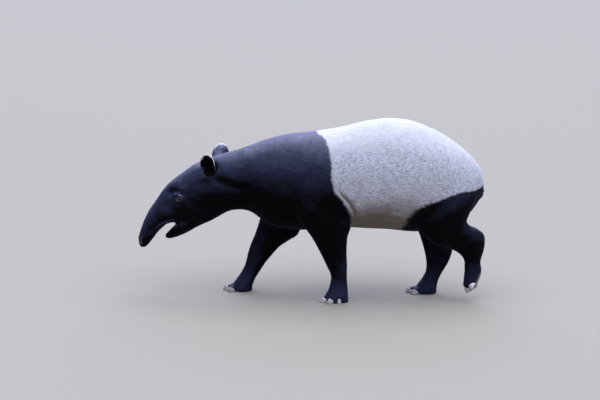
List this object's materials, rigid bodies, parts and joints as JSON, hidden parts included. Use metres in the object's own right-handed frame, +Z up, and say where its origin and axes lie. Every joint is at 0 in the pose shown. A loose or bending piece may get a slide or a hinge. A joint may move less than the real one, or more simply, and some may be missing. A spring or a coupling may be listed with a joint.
{
  "type": "malayan tapir",
  "caption": "Life-size still model of a walking tapir: black front and legs, pale saddle over back and rump, low drooping snout, round ears, hoofed toes.",
  "frame": {"origin": "on the floor, under the middle of the whole model's box", "axes": "+X towards the rump, so the animal walks towards -X; -Y is the animal's left side; +Z is up"},
  "size_m": [1.9964, 0.5668, 1.0391],
  "materials": {
    "black_coat": "short, dense black hair with a soft bluish sheen",
    "pale_coat": "short pale grey hair with dark skin showing between",
    "horn": "dull grey horn, worn pale at the top edge",
    "eye": "wet, very dark brown"
  },
  "bodies": {
    "root": {"head": "black_coat", "snout": "black_coat", "lower_jaw": "black_coat", "ear_left": "black_coat", "ear_right": "black_coat", "neck": "black_coat", "chest": "black_coat", "rump_base": "black_coat", "tail": "black_coat", "foreleg_left": "black_coat", "foreleg_right": "black_coat", "hindleg_left": "black_coat", "hindleg_right": "black_coat", "forefoot_left": "black_coat", "forefoot_right": "black_coat", "hindfoot_left": "black_coat", "hindfoot_right": "black_coat", "saddle": "pale_coat", "eye_left": "eye", "eye_right": "eye", "forefoot_left_hoof_inner": "horn", "forefoot_left_hoof_front": "horn", "forefoot_left_hoof_outer": "horn", "forefoot_left_hoof_little": "horn", "forefoot_right_hoof_inner": "horn", "forefoot_right_hoof_front": "horn", "forefoot_right_hoof_outer": "horn", "forefoot_right_hoof_little": "horn", "hindfoot_left_hoof_inner": "horn", "hindfoot_left_hoof_front": "horn", "hindfoot_left_hoof_outer": "horn", "hindfoot_right_hoof_inner": "horn", "hindfoot_right_hoof_front": "horn", "hindfoot_right_hoof_outer": "horn"}
  },
  "joints": []
}
